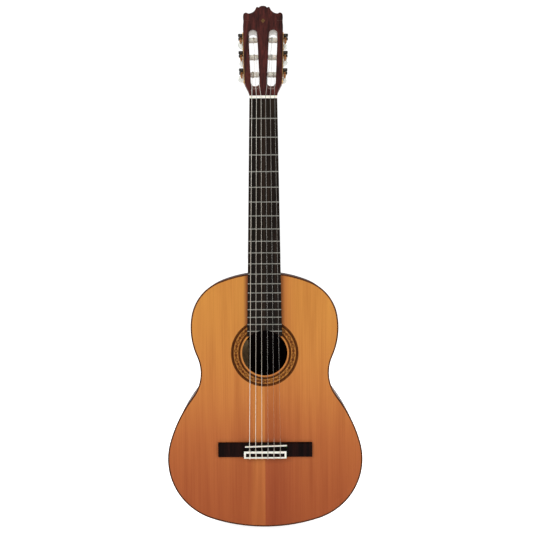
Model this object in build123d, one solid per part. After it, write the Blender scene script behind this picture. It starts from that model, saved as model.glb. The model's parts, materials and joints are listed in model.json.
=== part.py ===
from build123d import *
import os
from math import asin, atan2, cos, degrees, pi, radians, sin, tan

# Classical guitar, millimetres. +Z runs up the neck to the head, the strings face -Y, and +X is the
# treble side. The origin is on the centreline, at the nut's front edge, in the plane of the soundboard.

# Scale and fingerboard
SCALE_LENGTH = 650.0
FRET_COUNT = 19
NECK_WIDTH_AT_NUT = 51.7
NECK_WIDTH_AT_JOIN = 62.2
JOIN_Z = -SCALE_LENGTH / 2
FINGERBOARD_THICKNESS = 6.2
FINGERBOARD_END_Z = -443.0
FRET_CROWN_WIDTH = 2.0
FRET_CROWN_HEIGHT = 0.9
FRET_TANG_WIDTH = 0.5
FRET_TANG_DEPTH = 1.8

# Body outline, right half, from the neck to the tail: tangent arcs of (radius, turn in degrees). A
# negative turn is the hollow waist. One last arc, centred on the centreline, closes the tail.
OUTLINE_ARCS = [(229.4, 22.1), (85.7, 58.0), (135.2, 33.7), (76.9, -61.4), (256.6, 22.5), (121.7, 87.0)]
BODY_TOP_Z = -322.9
BODY_BOTTOM_Z = -814.0
DEPTH_AT_NECK = 94.0
DEPTH_AT_TAIL = 100.0
BACK_ARCH_RADIUS = 3600.0
TOP_THICKNESS = 2.4
BACK_THICKNESS = 2.6
SIDE_THICKNESS = 2.2
BINDING_HEIGHT = 6.0
PURFLING_WIDTH = 0.6
INLAY_DEPTH = 1.2
LINING_WIDTH = 6.0
LINING_HEIGHT = 12.0
BACK_STRIP_WIDTH = 6.0
HEEL_BLOCK_HALF_WIDTH = 34.0
HEEL_BLOCK_LENGTH = 48.0
TAIL_BLOCK_HALF_WIDTH = 36.0
TAIL_BLOCK_LENGTH = 18.0

# Bracing inside the body, and the label on the inside of the back
BRACE_WIDTH = 8.0
TOP_BAR_HEIGHT = 15.0
TOP_BAR_OFFSETS = [59.0, -62.0]
STRUT_WIDTH = 6.0
STRUT_HEIGHT = 5.0
STRUT_LENGTH = 225.0
STRUT_TOP_OFFSET = -74.0
STRUT_SPACING = 15.0
STRUT_FAN_ANGLE = 5.5
BACK_BRACE_HEIGHT = 13.0
BACK_BRACE_STATIONS = [-425.0, -560.0, -690.0]
LABEL_X = (-112.0, -33.0)
LABEL_Z = (-532.0, -462.0)
LABEL_THICKNESS = 0.3

# Soundhole and rosette
HOLE_CENTRE_Z = -475.5
HOLE_RADIUS = 43.3
MOUTH_RADIUS = 43.9
ROSETTE_INNER_RADIUS = 46.2
ROSETTE_OUTER_RADIUS = 64.8

# Neck and heel: the heel's back follows a quarter ellipse, then runs on under the body. Sections are
# (z, depth, half width of the flat back, fullness of the flanks)
NECK_DEPTH_AT_NUT = 15.4
NECK_DEPTH_AT_HEEL = 17.4
NECK_FLAT = 5.0
SHAFT_FULLNESS = 0.62
HEEL_FULLNESS = 0.37
HEEL_START_Z = -240.0
HEEL_LENGTH = 72.0
HEEL_RISE = 95.0
HEEL_BLEND_DEPTH = 60.0
HEEL_LEAD_IN = [36.0, 18.0]
HEEL_STEPS = [0, 10, 20, 32, 44, 55, 66]
HEEL_INNER_SECTIONS = [(-311.5, 93.0), (-317.0, 106.0), (-324.0, 111.0), (-337.0, 112.0)]

# Head: its own frame has the face at y 0, the rear at +y and z up the head
HEAD_TILT = 14.5
HEAD_ORIGIN = (0.0, -2.5, 5.0)
HEADPLATE_THICKNESS = 2.5
HEAD_THICKNESS = 20.0
HEAD_TOP = 184.0
HEAD_SQUARE_START = 29.0
SLOT_RADIUS = 8.16
SLOT_BOTTOM = (15.04, 29.9)
SLOT_TOP = (19.16, 127.0)
RAMP_START = 13.2
RAMP_LENGTH = 38.5
RAMP_RADIUS = 5.2
RAMP_SPREAD = 2.9
SCARF_END_Z = -55.0
NOTCH_HEIGHT = 153.5
INLAY_HEIGHT = 152.9
INLAY_HALF_SIZE = 5.2
INLAY_THICKNESS = 0.8

# Nut, saddle, bridge
NUT_HALF_WIDTH = 25.9
NUT_LENGTH = 5.0
NUT_TOP = 8.7
GROOVE_PLAY = 0.12
STRING_OVER_FRET_PLANE = 0.8
BRIDGE_HALF_WIDTH = 90.0
BRIDGE_TOP_Z = -647.6
BRIDGE_BOTTOM_Z = -676.0
BRIDGE_WING_HEIGHT = 4.4
BRIDGE_CENTRE_HALF_WIDTH = 41.8
SADDLE_SECTION_BOTTOM_Z = -656.8
SADDLE_SECTION_HEIGHT = 8.2
CHANNEL_HEIGHT = 3.4
TIE_BLOCK_TOP_Z = -663.4
TIE_BLOCK_HEIGHT = 8.2
TIE_HOLE_HEIGHT = 4.9
TIE_HOLE_RADIUS = 1.1
TRIM_HALF_WIDTH = 40.5
TRIM_BOTTOM_Z = -677.0
TRIM_THICKNESS = 1.2
TRIM_LIP = 1.2
TRIM_SIDE_BAND = 3.6
TRIM_LOWER_BAND = 2.5
TRIM_UPPER_BAND = 4.0
SADDLE_THICKNESS = 2.4
SADDLE_BASS_END = (-38.4, -654.2)
SADDLE_TREBLE_END = (41.4, -652.1)
SADDLE_BASS_HEIGHT = 12.2
SADDLE_TREBLE_HEIGHT = 11.4
SADDLE_SLOT_DEPTH = 6.0

# Tuners: their frame has x out of the head's side, y to the rear and z along the side. Stations are
# the roller axes, from the one nearest the nut.
TUNER_BASE = (35.2, 40.2)
TUNER_SIDE_TOP = (37.73, 133.8)
STATIONS = [6.9, 42.15, 77.4]
ROLLER_AXIS_DEPTH = 10.0
ROLLER_RADIUS = 5.0
ROLLER_TIP_RADIUS = 3.4
ROLLER_TIP_LENGTH = 4.0
AXLE_RADIUS = 2.6
AXLE_END_RADIUS = 2.0
RUNNING_GAP = 0.08
PLATE_THICKNESS = 1.4
PLATE_FRONT = 2.0
PLATE_REAR = 18.2
PLATE_BOTTOM = -10.9
PLATE_TOP = 93.5
GEAR_TEETH = 14
GEAR_MODULE = 0.76
TOOTH_ADDENDUM = 0.9
TOOTH_DEDENDUM = 1.15
TOOTH_TIP_HALF = 0.19
TOOTH_ROOT_HALF = 0.62
GEAR_START = 3.5
GEAR_WIDTH = 3.0
WORM_OFFSET = 7.35
WORM_OUT = 5.0
WORM_CORE_RADIUS = 1.2
WORM_LENGTH = 9.6
GEAR_PHASE = 7.0
SHAFT_RADIUS = 1.6
BRACKET_OUT = 9.8
BRACKET_HEIGHT = 5.6
FRONT_BRACKET = (2.4, 4.8)
REAR_BRACKET = (15.2, 17.6)
BUTTON_START = 31.0
BUTTON_SIZE = (17.0, 20.0, 9.6)
SCREW_STATIONS = [-6.4, 24.6, 59.8, 89.3]
SCREW_HEAD_RADIUS = 2.2
SCREW_SHANK_RADIUS = 1.2

# Strings, from bass to treble: name, diameter, x at the nut, x at the saddle, x on its roller, the
# station of its roller, and how far its button is turned from lying along the head
STRINGS = [
    ("e6", 1.10, -21.2, -29.8, -20.6, 0, 82.0),
    ("a5", 0.90, -12.7, -18.2, -17.6, 1, 12.0),
    ("d4", 0.76, -4.1, -6.4, -19.1, 2, 48.0),
    ("g3", 1.02, 4.3, 5.6, 17.6, 2, 8.0),
    ("b2", 0.82, 12.9, 17.0, 17.1, 1, 38.0),
    ("e1", 0.72, 21.2, 29.0, 20.1, 0, 14.0),
]
TIE_LOOP_BEHIND = 1.3

FRET_PLANE = FINGERBOARD_THICKNESS + FRET_CROWN_HEIGHT
HEAD = Location(HEAD_ORIGIN, (-HEAD_TILT, 0, 0))
SIDE_TILT = degrees(atan2(TUNER_SIDE_TOP[0] - TUNER_BASE[0], TUNER_SIDE_TOP[1] - TUNER_BASE[1]))
TUNER = HEAD * Location((TUNER_BASE[0], 0, TUNER_BASE[1]), (0, SIDE_TILT, 0))


# ---- shared helpers ----

def save(name, *solids):
    """Write one node, which may be a group of separate solids."""
    pieces = [piece for shape in solids for piece in shape.solids()]
    shape = pieces[0] if len(pieces) == 1 else Compound(children=pieces)
    shape.label = name
    export_step(shape, os.path.join("parts", name + ".step"))


def polygon(points, y=0.0):
    """A flat face in the XZ plane through (x, z) points."""
    corners = [Vector(x, y, z) for x, z in points]
    edges = [Edge.make_line(a, b) for a, b in zip(corners, corners[1:] + corners[:1])]
    return Face(Wire(edges))


def slab(face, y0, y1):
    """Extrude a face that lies in the plane y = 0 so that it fills y0 to y1."""
    return Solid.extrude(face.moved(Location((0, y0, 0))), (0, y1 - y0, 0))


def block(x0, x1, y0, y1, z0, z1):
    """An axis-aligned block between two corners."""
    return Solid.make_box(x1 - x0, y1 - y0, z1 - z0, Plane(origin=(x0, y0, z0)))


def rod(start, end, radius):
    """A round bar between two points."""
    span = Vector(end) - Vector(start)
    return Solid.make_cylinder(radius, span.length, Plane(origin=start, z_dir=span))


def mirrored(shape):
    """The same shape on the bass side."""
    return mirror(shape, Plane.YZ)


def neck_width(z):
    """Width of the neck and fingerboard at a height z."""
    return NECK_WIDTH_AT_NUT + (NECK_WIDTH_AT_JOIN - NECK_WIDTH_AT_NUT) * z / JOIN_Z


def fret_z(number):
    """Height of a fret crown: equal temperament from the nut."""
    return -SCALE_LENGTH * (1 - 2 ** (-number / 12))


# ---- body ----

def outline_arcs(inset):
    """Right half of the body outline, drawn inset from the edge, as (start, middle, end) arcs."""
    x, z, heading = 0.0, BODY_TOP_Z - inset, 0.0
    arcs = []
    for radius, turn in OUTLINE_ARCS:
        side = 1 if turn > 0 else -1
        r = radius - side * inset
        centre_x = x - side * r * sin(heading)
        centre_z = z - side * r * cos(heading)
        angles = [heading + radians(turn) * part for part in (0, 0.5, 1)]
        arcs.append([(centre_x + side * r * sin(a), centre_z + side * r * cos(a)) for a in angles])
        heading = angles[-1]
        x, z = arcs[-1][-1]
    r = x / sin(heading)
    centre_z = z - r * cos(heading)
    angles = [heading, (heading + pi) / 2, pi]
    arcs.append([(r * sin(a), centre_z + r * cos(a)) for a in angles])
    arcs[-1][-1] = (0.0, arcs[-1][-1][1])
    return arcs


def body_face(inset=0.0):
    """The whole body outline as a face."""
    edges = []
    for side in (1, -1):
        for arc in outline_arcs(inset):
            edges.append(Edge.make_three_point_arc(*[Vector(side * x, 0, z) for x, z in arc]))
    return Face(Wire(edges))


def under_back(inset=0.0):
    """All space in front of the arched back, or of a surface inset from it."""
    slope = (DEPTH_AT_TAIL - DEPTH_AT_NECK) / (BODY_TOP_Z - BODY_BOTTOM_Z)
    low_z = BODY_BOTTOM_Z - 100
    depth = DEPTH_AT_NECK + slope * (BODY_TOP_Z - low_z)
    plane = Plane(origin=(0, depth - BACK_ARCH_RADIUS, low_z), x_dir=(1, 0, 0), z_dir=(0, -slope, 1))
    return Solid.make_cylinder(BACK_ARCH_RADIUS - inset, HEAD_TOP - low_z, plane)


def body_ring(outer_inset, inner_inset, y0, y1):
    """A band that follows the body outline."""
    return slab(body_face(outer_inset), y0, y1) - slab(body_face(inner_inset), y0, y1)


def back_ring(outer_inset, inner_inset, near, far):
    """A band along the back's edge, between two surfaces inset from the back."""
    ring = body_ring(outer_inset, inner_inset, DEPTH_AT_NECK / 2, DEPTH_AT_TAIL + 20)
    return (ring & under_back(near)) - under_back(far)


def soundboard():
    board = slab(body_face(SIDE_THICKNESS), 0, TOP_THICKNESS)
    board = board - body_ring(SIDE_THICKNESS - 1, SIDE_THICKNESS + PURFLING_WIDTH, 0, INLAY_DEPTH)
    board = board - rod((0, -1, HOLE_CENTRE_Z), (0, TOP_THICKNESS + 1, HOLE_CENTRE_Z), HOLE_RADIUS)
    return board - rosette()


def rosette():
    disc = rod((0, 0, HOLE_CENTRE_Z), (0, INLAY_DEPTH, HOLE_CENTRE_Z), ROSETTE_OUTER_RADIUS)
    return disc - rod((0, -1, HOLE_CENTRE_Z), (0, INLAY_DEPTH + 1, HOLE_CENTRE_Z), ROSETTE_INNER_RADIUS)


def purflings():
    outer, inner = SIDE_THICKNESS, SIDE_THICKNESS + PURFLING_WIDTH
    return [body_ring(outer, inner, 0, INLAY_DEPTH), back_ring(outer, inner, 0, INLAY_DEPTH)]


def sides():
    """The two bent sides, butted on the centreline."""
    ring = body_ring(0, SIDE_THICKNESS, BINDING_HEIGHT, DEPTH_AT_TAIL + 20) & under_back(BINDING_HEIGHT)
    half = block(0, 300, 0, 200, BODY_BOTTOM_Z - 50, BODY_TOP_Z + 50)
    return ring & mirrored(half), ring & half


def back_plates():
    """Bass half, treble half and the strip between them."""
    plate = slab(body_face(SIDE_THICKNESS), DEPTH_AT_NECK / 2, DEPTH_AT_TAIL + 20) & under_back()
    plate = plate - under_back(BACK_THICKNESS)
    plate = plate - back_ring(SIDE_THICKNESS - 1, SIDE_THICKNESS + PURFLING_WIDTH, -5, INLAY_DEPTH)
    edge = BACK_STRIP_WIDTH / 2
    half = block(edge, 300, 0, 200, BODY_BOTTOM_Z - 50, BODY_TOP_Z + 50)
    strip = block(-edge, edge, 0, 200, BODY_BOTTOM_Z - 50, BODY_TOP_Z + 50)
    return plate & mirrored(half), plate & half, plate & strip


def end_block(half_width, z0, z1):
    """A block glued inside the body, between the soundboard and the back."""
    inside = slab(body_face(SIDE_THICKNESS), TOP_THICKNESS, DEPTH_AT_TAIL + 20)
    return inside & block(-half_width, half_width, 0, 200, z0, z1) & under_back(BACK_THICKNESS)


def linings(blocks):
    """Strips in the corners that join the sides to the soundboard and to the back."""
    inner = SIDE_THICKNESS + LINING_WIDTH
    top = body_ring(SIDE_THICKNESS, inner, TOP_THICKNESS, TOP_THICKNESS + LINING_HEIGHT)
    back = back_ring(SIDE_THICKNESS, inner, BACK_THICKNESS, BACK_THICKNESS + LINING_HEIGHT)
    return [ring - blocks for ring in (top, back)]


def top_braces():
    """Two bars across the soundboard, and a fan of light struts below the soundhole."""
    inside = slab(body_face(SIDE_THICKNESS + LINING_WIDTH), 0, DEPTH_AT_NECK)
    half = BRACE_WIDTH / 2
    bars = []
    for offset in TOP_BAR_OFFSETS:
        z = HOLE_CENTRE_Z + offset
        bar = block(-200, 200, TOP_THICKNESS, TOP_THICKNESS + TOP_BAR_HEIGHT, z - half, z + half)
        bars.append(bar & inside)
    half = STRUT_WIDTH / 2
    blank = block(-half, half, TOP_THICKNESS, TOP_THICKNESS + STRUT_HEIGHT, -STRUT_LENGTH, 0)
    for place in range(-3, 4):
        position = (place * STRUT_SPACING, 0, HOLE_CENTRE_Z + STRUT_TOP_OFFSET)
        bars.append(blank.moved(Location(position, (0, place * STRUT_FAN_ANGLE, 0))) & inside)
    return bars


def back_braces():
    """Three bars across the inside of the back."""
    inside = slab(body_face(SIDE_THICKNESS + LINING_WIDTH), 0, DEPTH_AT_TAIL + 20)
    inside = (inside & under_back(BACK_THICKNESS)) - under_back(BACK_THICKNESS + BACK_BRACE_HEIGHT)
    half = BRACE_WIDTH / 2
    return [inside & block(-200, 200, 0, 200, z - half, z + half) for z in BACK_BRACE_STATIONS]


def label():
    """Blank paper label on the inside of the back."""
    paper = block(*LABEL_X, 0, 200, *LABEL_Z)
    return (paper & under_back(BACK_THICKNESS)) - under_back(BACK_THICKNESS + LABEL_THICKNESS)


# ---- neck, fingerboard and head ----

def neck_section(z, depth, flat, fullness):
    """D-shaped section of the neck: flat front, rounded flanks, a narrow flat along the back."""
    half = neck_width(z) / 2
    flank = [Vector(half, 0, z), Vector(half, depth * fullness, z),
             Vector(flat + (half - flat) * (fullness - 0.18), depth, z), Vector(flat, depth, z)]
    return section_wire(flank)


def section_wire(flank):
    """Close a section from the right flank's four control points and its mirror image."""
    other = [Vector(-p.X, p.Y, p.Z) for p in flank]
    return Wire([Edge.make_line(other[0], flank[0]), Edge.make_bezier(*flank),
                 Edge.make_line(flank[3], other[3]), Edge.make_bezier(*other[::-1])])


def shaft_depth(z):
    """Depth of the neck's shaft, which grows evenly from the nut to the heel."""
    return NECK_DEPTH_AT_NUT + (NECK_DEPTH_AT_HEEL - NECK_DEPTH_AT_NUT) * z / HEEL_START_Z


def neck_blank():
    """Shaft and heel before the body and the scarf joint are cut from them."""
    lead_in = [HEEL_START_Z + distance for distance in HEEL_LEAD_IN]
    shaft_ends = [neck_section(z, shaft_depth(z), NECK_FLAT, SHAFT_FULLNESS)
                  for z in (lead_in[0], HEAD_ORIGIN[2])]
    shaft = Solid.make_loft(shaft_ends, ruled=True)
    curve = [(z, shaft_depth(z)) for z in lead_in]
    for angle in HEEL_STEPS:
        run, rise = HEEL_LENGTH * sin(radians(angle)), HEEL_RISE * (1 - cos(radians(angle)))
        curve.append((HEEL_START_Z - run, NECK_DEPTH_AT_HEEL + rise))
    sections = []
    for z, depth in curve + HEEL_INNER_SECTIONS:
        part = min(1.0, max(0.0, (depth - NECK_DEPTH_AT_HEEL) / HEEL_BLEND_DEPTH))
        fullness = SHAFT_FULLNESS + (HEEL_FULLNESS - SHAFT_FULLNESS) * part
        sections.append(neck_section(z, depth, NECK_FLAT, fullness))
    return shaft + Solid.make_loft(sections)


def scarf_wedge():
    """Everything behind the scarf joint, which runs from the nut to the back of the neck."""
    start = Vector(-60, 0, HEAD_ORIGIN[2])
    end = Vector(-60, NECK_DEPTH_AT_NUT + 0.6, SCARF_END_Z)
    run = (end - start).normalized()
    corners = [start - run * 10, start + run * 200]
    corners += [corners[1] + Vector(0, 300, 0), corners[0] + Vector(0, 300, 0)]
    edges = [Edge.make_line(a, b) for a, b in zip(corners, corners[1:] + corners[:1])]
    return Solid.extrude(Face(Wire(edges)), (120, 0, 0))


def neck_and_heel_cap(body_space):
    blank = neck_blank() - body_space
    neck = (blank & under_back(BACK_THICKNESS)) - scarf_wedge()
    cap = (blank & under_back()) - under_back(BACK_THICKNESS)
    return neck, cap


def fingerboard_footprint(inset=0.0, y0=-20.0, y1=20.0):
    """The fingerboard's plan: a taper whose end is hollowed round the soundhole."""
    top, bottom = neck_width(0) / 2 - inset, neck_width(FINGERBOARD_END_Z) / 2 - inset
    plan = polygon([(-top, 0), (top, 0), (bottom, FINGERBOARD_END_Z), (-bottom, FINGERBOARD_END_Z)])
    return slab(plan, y0, y1) - rod((0, y0 - 1, HOLE_CENTRE_Z), (0, y1 + 1, HOLE_CENTRE_Z), MOUTH_RADIUS)


def frets():
    """All frets: a domed crown on a thin tang. The last one is split by the soundhole."""
    footprint = fingerboard_footprint(0.2)
    pieces = []
    seat = -FINGERBOARD_THICKNESS
    for number in range(1, FRET_COUNT + 1):
        z = fret_z(number)
        ends = [Vector(-40, seat, z + side * FRET_CROWN_WIDTH / 2) for side in (1, -1)]
        top = Vector(-40, seat - FRET_CROWN_HEIGHT, z)
        dome = Edge.make_three_point_arc(ends[0], top, ends[1])
        crown = Solid.extrude(Face(Wire([dome, Edge.make_line(ends[1], ends[0])])), (80, 0, 0))
        half = FRET_TANG_WIDTH / 2
        tang = block(-40, 40, seat, seat + FRET_TANG_DEPTH, z - half, z + half)
        pieces += ((crown + tang) & footprint).solids()
    return pieces


def fingerboard(fret_pieces):
    board = fingerboard_footprint(0.0, -FINGERBOARD_THICKNESS, 0.0)
    for piece in fret_pieces:
        board = board - piece
    return board


def head_side_x(z):
    """Half width of the head along its straight sides."""
    (x0, z0), (x1, z1) = TUNER_BASE, TUNER_SIDE_TOP
    return x0 + (x1 - x0) * (z - z0) / (z1 - z0)


def head_outline():
    """The head's front outline in its own frame, right half then left half."""
    def arc(*points):
        return [Vector(x, 0, z) for x, z in points]
    right = [
        ("line", arc((0, -8), (26.1, -8))),
        ("line", arc((26.1, -8), (26.1, 1.5))),
        ("arc", arc((26.1, 1.5), (27.8, 11.1), (31.4, 18.2))),
        ("arc", arc((31.4, 18.2), (33.7, 25.2), (head_side_x(31.8), 31.8))),
        ("line", arc((head_side_x(31.8), 31.8), TUNER_SIDE_TOP)),
        ("arc", arc(TUNER_SIDE_TOP, (37.65, 145.2), (36.85, NOTCH_HEIGHT))),
        ("arc", arc((36.85, NOTCH_HEIGHT), (37.65, 158.6), (37.35, 165.3))),
        ("arc", arc((37.35, 165.3), (33.3, 169.8), (28.5, 168.1))),
        ("arc", arc((28.5, 168.1), (19.6, 170.7), (13.3, 179.4))),
        ("arc", arc((13.3, 179.4), (10.7, 181.6), (8.1, 180.1))),
        ("arc", arc((8.1, 180.1), (4.65, 183.2), (0, HEAD_TOP))),
    ]
    edges = []
    for side in (1, -1):
        for kind, points in right:
            points = [Vector(side * p.X, p.Y, p.Z) for p in points]
            make = Edge.make_line if kind == "line" else Edge.make_three_point_arc
            edges.append(make(*points))
    return Face(Wire(edges))


def slot_cutter(y0, y1):
    """Both long string slots, with round ends."""
    run = Vector(SLOT_TOP[0] - SLOT_BOTTOM[0], 0, SLOT_TOP[1] - SLOT_BOTTOM[1])
    side = Vector(run.Z, 0, -run.X).normalized() * SLOT_RADIUS
    low, high = [Vector(x, 0, z) for x, z in (SLOT_BOTTOM, SLOT_TOP)]
    middle = polygon([(p.X, p.Z) for p in (low - side, high - side, high + side, low + side)])
    slot = slab(middle, y0, y1)
    for x, z in (SLOT_BOTTOM, SLOT_TOP):
        slot = slot + rod((x, y0, z), (x, y1, z), SLOT_RADIUS)
    return slot + mirrored(slot)


def string_ramps():
    """Scoops that lead the strings over the slots' lower ends."""
    x = SLOT_BOTTOM[0]
    low, high = RAMP_START - 2.0, RAMP_START - 2.0 + RAMP_LENGTH
    cuts = [rod((x + shift, -6.9, low), (x + shift, 12.0, high), RAMP_RADIUS)
            for shift in (-RAMP_SPREAD, 0, RAMP_SPREAD)]
    scoop = cuts[0] + cuts[1] + cuts[2]
    return scoop + mirrored(scoop)


def side_notches():
    """A fine line cut into each edge of the head, near its top."""
    line = block(25.8, 40, -1, 0.5, NOTCH_HEIGHT - 0.3, NOTCH_HEIGHT + 0.3)
    return line + mirrored(line)


def roller_bores():
    """Bores for the rollers, through the head's sides and into its middle rib."""
    bores = None
    for station in STATIONS:
        y = ROLLER_AXIS_DEPTH
        end = roller_inner_end(station) - ROLLER_TIP_LENGTH - 0.6
        bore = rod((1, y, station), (-16, y, station), ROLLER_RADIUS + RUNNING_GAP)
        tip = rod((-16, y, station), (end, y, station), ROLLER_TIP_RADIUS + RUNNING_GAP)
        bores = bore + tip if bores is None else bores + bore + tip
    bores = bores.moved(TUNER)
    return bores + mirrored(bores)


def roller_inner_end(station):
    """Where a roller's sleeve stops, just clear of the middle rib, measured from the head's side."""
    part = (TUNER_BASE[1] + station - SLOT_BOTTOM[1]) / (SLOT_TOP[1] - SLOT_BOTTOM[1])
    rib_x = SLOT_BOTTOM[0] + part * (SLOT_TOP[0] - SLOT_BOTTOM[0]) - SLOT_RADIUS
    side_x = TUNER_BASE[0] + station * tan(radians(SIDE_TILT))
    return rib_x + 0.5 - side_x


def head_rear_shape():
    """Space that rounds the head's rear into the neck, below the square part of the head."""
    z = HEAD_ORIGIN[2]
    low = neck_section(z, shaft_depth(z), NECK_FLAT, SHAFT_FULLNESS)
    wide, top = 35.8, HEAD_SQUARE_START
    high = [Vector(wide, HEADPLATE_THICKNESS, top), Vector(wide, HEAD_THICKNESS - 4, top),
            Vector(wide - 0.6, HEAD_THICKNESS, top), Vector(wide - 4.6, HEAD_THICKNESS, top)]
    high = [Vector(*(HEAD * Location(tuple(p))).position) for p in high]
    return Solid.make_loft([low, section_wire(high)], ruled=True)


def headstock():
    """The head's core with its slots, scarfed on to the neck's end."""
    core = slab(head_outline(), HEADPLATE_THICKNESS, HEAD_THICKNESS).moved(HEAD)
    square = block(-50, 50, -10, 40, HEAD_SQUARE_START, HEAD_TOP + 20).moved(HEAD)
    core = core & (head_rear_shape() + square)
    core = core + (neck_blank() & scarf_wedge())
    core = core - (slot_cutter(-5, 30) + string_ramps()).moved(HEAD)
    return core - roller_bores() - screw_shanks()


def headplate():
    plate = slab(head_outline(), 0, HEADPLATE_THICKNESS).moved(HEAD)
    plate = plate & block(-60, 60, -50, 100, NUT_LENGTH, 300)
    plate = plate - (slot_cutter(-5, 30) + string_ramps() + side_notches()).moved(HEAD)
    return plate - head_inlay()


def head_inlay():
    """A plain lozenge let into the head's face."""
    s = INLAY_HALF_SIZE
    z = INLAY_HEIGHT
    lozenge = polygon([(0, z + s), (s * 0.8, z), (0, z - s), (-s * 0.8, z)])
    return slab(lozenge, 0, INLAY_THICKNESS).moved(HEAD)


# ---- nut, saddle and bridge ----

def nut_string_y(diameter):
    """Height of a string's centre over the nut."""
    return -(FRET_PLANE + STRING_OVER_FRET_PLANE + diameter / 2)


def saddle_z(x):
    """The saddle slants a little, so that the bass strings are longer."""
    (x0, z0), (x1, z1) = SADDLE_BASS_END, SADDLE_TREBLE_END
    return z0 + (z1 - z0) * (x - x0) / (x1 - x0)


def saddle_height(x):
    part = (x - SADDLE_BASS_END[0]) / (SADDLE_TREBLE_END[0] - SADDLE_BASS_END[0])
    return SADDLE_BASS_HEIGHT + (SADDLE_TREBLE_HEIGHT - SADDLE_BASS_HEIGHT) * part


def nut():
    """Bone nut with a sloping top and a groove for each string."""
    profile = [Vector(-NUT_HALF_WIDTH, y, z) for y, z in
               ((0, 0), (-NUT_TOP, 0), (-NUT_TOP, 2.6), (-NUT_TOP + 0.9, NUT_LENGTH), (0, NUT_LENGTH))]
    edges = [Edge.make_line(a, b) for a, b in zip(profile, profile[1:] + profile[:1])]
    shape = Solid.extrude(Face(Wire(edges)), (2 * NUT_HALF_WIDTH, 0, 0))
    for string in STRINGS:
        shape = shape - string_groove(string, 1)
    return shape


def saddle():
    """Bone blade with a rounded top, standing in its slot."""
    half = SADDLE_THICKNESS / 2
    bottom = -(SADDLE_SECTION_HEIGHT - SADDLE_SLOT_DEPTH)
    wires = []
    for x, z in (SADDLE_BASS_END, SADDLE_TREBLE_END):
        top = -saddle_height(x)
        a, b, c, d = [Vector(x, y, z + dz) for y, dz in
                      ((bottom, half), (top + half, half), (top + half, -half), (bottom, -half))]
        crown = Edge.make_three_point_arc(b, Vector(x, top, z), c)
        wires.append(Wire([Edge.make_line(a, b), crown, Edge.make_line(c, d), Edge.make_line(d, a)]))
    blade = Solid.make_loft(wires, ruled=True)
    for string in STRINGS:
        blade = blade - string_groove(string, 2)
    return blade


def bridge(saddle_slot):
    """Wings, saddle section, tie block with its string holes, and the channel between them."""
    def bar(half_width, height, z0, z1):
        return block(-half_width, half_width, -height, 0, z0, z1)
    wings = bar(BRIDGE_HALF_WIDTH, BRIDGE_WING_HEIGHT, BRIDGE_BOTTOM_Z, BRIDGE_TOP_Z)
    wings = fillet(wings.edges().filter_by(Axis.X).group_by(Axis.Y)[0], 2.6)
    centre = BRIDGE_CENTRE_HALF_WIDTH
    raised = bar(centre, SADDLE_SECTION_HEIGHT, SADDLE_SECTION_BOTTOM_Z, BRIDGE_TOP_Z)
    raised = fillet(raised.edges().filter_by(Axis.X).group_by(Axis.Y)[0].sort_by(Axis.Z)[-1], 2.0)
    raised = raised + bar(centre, TIE_BLOCK_HEIGHT, BRIDGE_BOTTOM_Z, TIE_BLOCK_TOP_Z)
    shape = wings + raised
    shape = shape - block(-centre, centre, -30, -CHANNEL_HEIGHT, TIE_BLOCK_TOP_Z, SADDLE_SECTION_BOTTOM_Z)
    shape = shape - saddle_slot
    y = -TIE_HOLE_HEIGHT
    for name, diameter, nut_x, x, *rest in STRINGS:
        shape = shape - rod((x, y, TIE_BLOCK_TOP_Z + 1), (x, y, BRIDGE_BOTTOM_Z - 1), TIE_HOLE_RADIUS)
    return shape


def tie_block_trim():
    """Pale frame round the top of the tie block."""
    y0, y1 = -TIE_BLOCK_HEIGHT - TRIM_THICKNESS, -TIE_BLOCK_HEIGHT
    frame = block(-TRIM_HALF_WIDTH, TRIM_HALF_WIDTH, y0, y1, TRIM_BOTTOM_Z, TIE_BLOCK_TOP_Z)
    lip = block(-TRIM_HALF_WIDTH, TRIM_HALF_WIDTH, y1, y1 + TRIM_LIP, TRIM_BOTTOM_Z, BRIDGE_BOTTOM_Z)
    half = TRIM_HALF_WIDTH - TRIM_SIDE_BAND
    z0, z1 = TRIM_BOTTOM_Z + TRIM_LOWER_BAND, TIE_BLOCK_TOP_Z - TRIM_UPPER_BAND
    window = block(-half, half, y0 - 1, y1 + 1, z0, z1)
    return (frame + lip) - window


# ---- tuners ----

def tuner_plate():
    """Side plate with two brackets for each worm, bored for the axles, worms and screws."""
    middle = (PLATE_FRONT + PLATE_REAR) / 2
    half = (PLATE_REAR - PLATE_FRONT) / 2
    plate = block(0, PLATE_THICKNESS, PLATE_FRONT, PLATE_REAR, PLATE_BOTTOM + half, PLATE_TOP - half)
    for z in (PLATE_BOTTOM + half, PLATE_TOP - half):
        plate = plate + rod((0, middle, z), (PLATE_THICKNESS, middle, z), half)
    for station in STATIONS:
        worm_z = station + WORM_OFFSET
        for y0, y1 in (FRONT_BRACKET, REAR_BRACKET):
            ear = block(0, BRACKET_OUT, y0, y1, worm_z - BRACKET_HEIGHT / 2, worm_z + BRACKET_HEIGHT / 2)
            plate = plate + fillet(ear.edges().filter_by(Axis.Y).group_by(Axis.X)[-1], 1.6)
        plate = plate - rod((WORM_OUT, 0, worm_z), (WORM_OUT, 22, worm_z), SHAFT_RADIUS + RUNNING_GAP)
        plate = plate - rod((-1, ROLLER_AXIS_DEPTH, station), (3, ROLLER_AXIS_DEPTH, station),
                            AXLE_RADIUS + RUNNING_GAP)
    for z in SCREW_STATIONS:
        plate = plate - rod((-1, middle, z), (3, middle, z), SCREW_SHANK_RADIUS)
    return plate


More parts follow.
